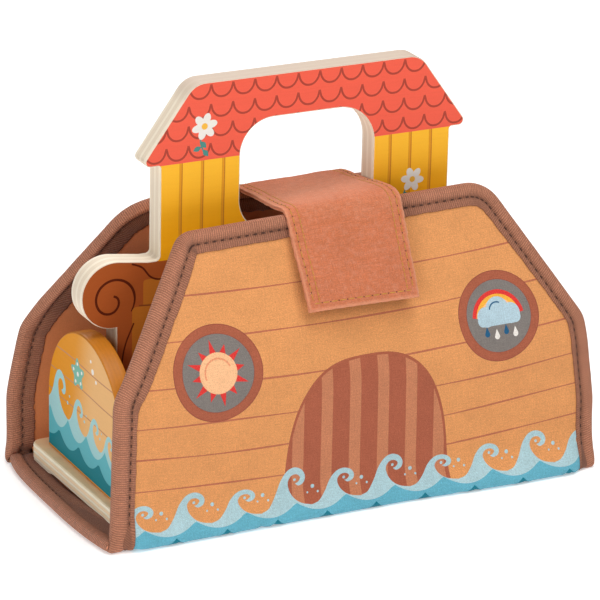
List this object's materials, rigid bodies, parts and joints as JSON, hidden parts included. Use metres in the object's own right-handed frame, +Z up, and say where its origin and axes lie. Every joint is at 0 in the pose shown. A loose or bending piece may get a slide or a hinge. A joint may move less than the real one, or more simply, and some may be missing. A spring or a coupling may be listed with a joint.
{
  "type": "toy ark in a carry case",
  "caption": "Ark-shaped carry toy: plywood ark with scrolled hull and house-roof handle in a bound canvas case with fold-down panels and a hook-and-loop strap.",
  "frame": {"origin": "on the resting surface, under the middle of the fabric case", "axes": "+X along the ship to the right seen from the front, +Y from the front panel to the back panel, +Z up"},
  "size_m": [0.302, 0.1374, 0.235],
  "materials": {
    "printed_canvas": "printed cotton canvas",
    "lining": "brushed brown lining",
    "binding": "brown herringbone twill tape",
    "strap_canvas": "terracotta canvas",
    "stiffener": "flexible stiffening board",
    "hook_loop": "hook and loop tape",
    "plywood": "satin plywood with printed faces",
    "painted_wood": "ochre painted plywood with a printed face",
    "beech": "plain beech",
    "steel": "zinc-plated steel"
  },
  "bodies": {
    "root": {"base_cover": "printed_canvas", "base_stiffener": "stiffener", "base_lining": "lining", "left_base_binding": "binding", "right_base_binding": "binding", "base_plate": "plywood", "front_runner": "plywood", "back_runner": "plywood", "left_end_wall": "painted_wood", "right_end_wall": "painted_wood", "centre_board": "plywood", "dowels": "beech", "screws": "steel"},
    "front_panel": {"front_cover": "printed_canvas", "front_stiffener": "stiffener", "front_lining": "lining", "front_binding": "binding", "loop_patch": "hook_loop"},
    "back_panel": {"back_cover": "printed_canvas", "back_stiffener": "stiffener", "back_lining": "lining", "back_binding": "binding", "strap_anchor": "strap_canvas"},
    "strap": {"strap_span": "strap_canvas"},
    "strap_tip": {"strap_tail": "strap_canvas", "hook_patch": "hook_loop"}
  },
  "joints": [
    {"name": "front_panel_fold", "type": "hinge", "parent": "root", "child": "front_panel", "pos_m": [0, -0.066, 0.0027], "axis": [1, 0, 0], "range_deg": [0, 90]},
    {"name": "back_panel_fold", "type": "hinge", "parent": "root", "child": "back_panel", "pos_m": [0, 0.066, 0.0027], "axis": [-1, 0, 0], "range_deg": [0, 90]},
    {"name": "strap_lift", "type": "hinge", "parent": "back_panel", "child": "strap", "pos_m": [0.0024, 0.03064, 0.165], "axis": [-1, 0, 0], "range_deg": [0, 120]},
    {"name": "strap_peel", "type": "hinge", "parent": "strap", "child": "strap_tip", "pos_m": [0.0024, -0.03225, 0.1658], "axis": [-1, 0, 0], "range_deg": [0, 110], "deforming": ["strap_tail", "hook_patch"]}
  ],
  "couplings": [
    {"joint": "strap_lift", "follows": "back_panel_fold", "ratio": 1.3333}
  ]
}
